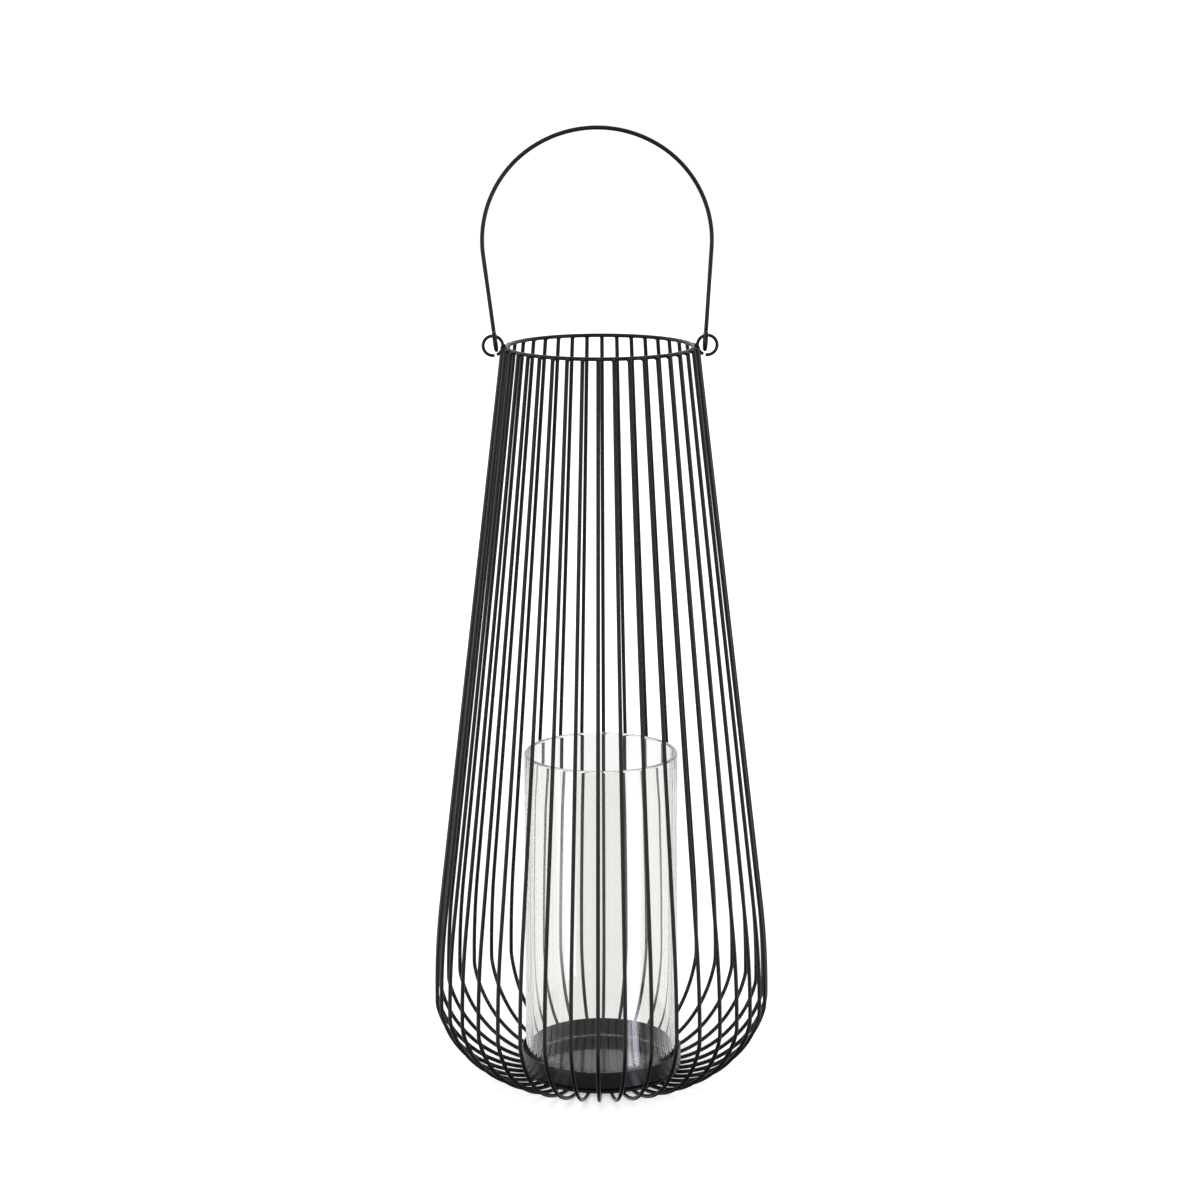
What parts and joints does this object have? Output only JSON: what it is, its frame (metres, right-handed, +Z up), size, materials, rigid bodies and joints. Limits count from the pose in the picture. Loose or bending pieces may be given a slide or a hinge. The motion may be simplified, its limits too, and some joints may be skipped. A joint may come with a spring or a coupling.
{
  "type": "hurricane candle lantern",
  "caption": "Tall flared wire cage lantern with an open glass cylinder in a low candle dish and a swinging wire bail handle.",
  "frame": {"origin": "middle of the circle of rib feet, on the surface that the lantern stands on", "axes": "+Z up along the axis of the cage, +X from the left ear to the right ear, so the upright bail lies in the plane of X and Z, +Y to the back"},
  "size_m": [0.2638, 0.2638, 0.7456],
  "materials": {
    "wire_black": "satin black powder coat on steel wire",
    "dish_black": "satin black powder coat on sheet steel",
    "clear_glass": "clear blown glass with a rounded rim"
  },
  "bodies": {
    "cage": {"rib_01": "wire_black", "rib_02": "wire_black", "rib_03": "wire_black", "rib_04": "wire_black", "rib_05": "wire_black", "rib_06": "wire_black", "rib_07": "wire_black", "rib_08": "wire_black", "rib_09": "wire_black", "rib_10": "wire_black", "rib_11": "wire_black", "rib_12": "wire_black", "rib_13": "wire_black", "rib_14": "wire_black", "rib_15": "wire_black", "rib_16": "wire_black", "rib_17": "wire_black", "rib_18": "wire_black", "rib_19": "wire_black", "rib_20": "wire_black", "rib_21": "wire_black", "rib_22": "wire_black", "rib_23": "wire_black", "rib_24": "wire_black", "rib_25": "wire_black", "rib_26": "wire_black", "rib_27": "wire_black", "rib_28": "wire_black", "rib_29": "wire_black", "rib_30": "wire_black", "rib_31": "wire_black", "rib_32": "wire_black", "rib_33": "wire_black", "rib_34": "wire_black", "rib_35": "wire_black", "rib_36": "wire_black", "rib_37": "wire_black", "rib_38": "wire_black", "rib_39": "wire_black", "rib_40": "wire_black", "top_hoop": "wire_black", "base_hoop": "wire_black", "candle_dish": "dish_black", "ear_left": "wire_black", "ear_right": "wire_black"},
    "glass": {"glass_cylinder": "clear_glass"},
    "bail": {"bail_handle": "wire_black"}
  },
  "joints": [
    {"name": "bail_swing", "type": "hinge", "parent": "cage", "child": "bail", "pos_m": [0, 0, 0.58805], "axis": [1, 0, 0], "range_deg": [-144, 144]},
    {"name": "glass_lift", "type": "slide", "parent": "cage", "child": "glass", "axis": [0, 0, 1], "range_m": [0, 0.44]}
  ]
}
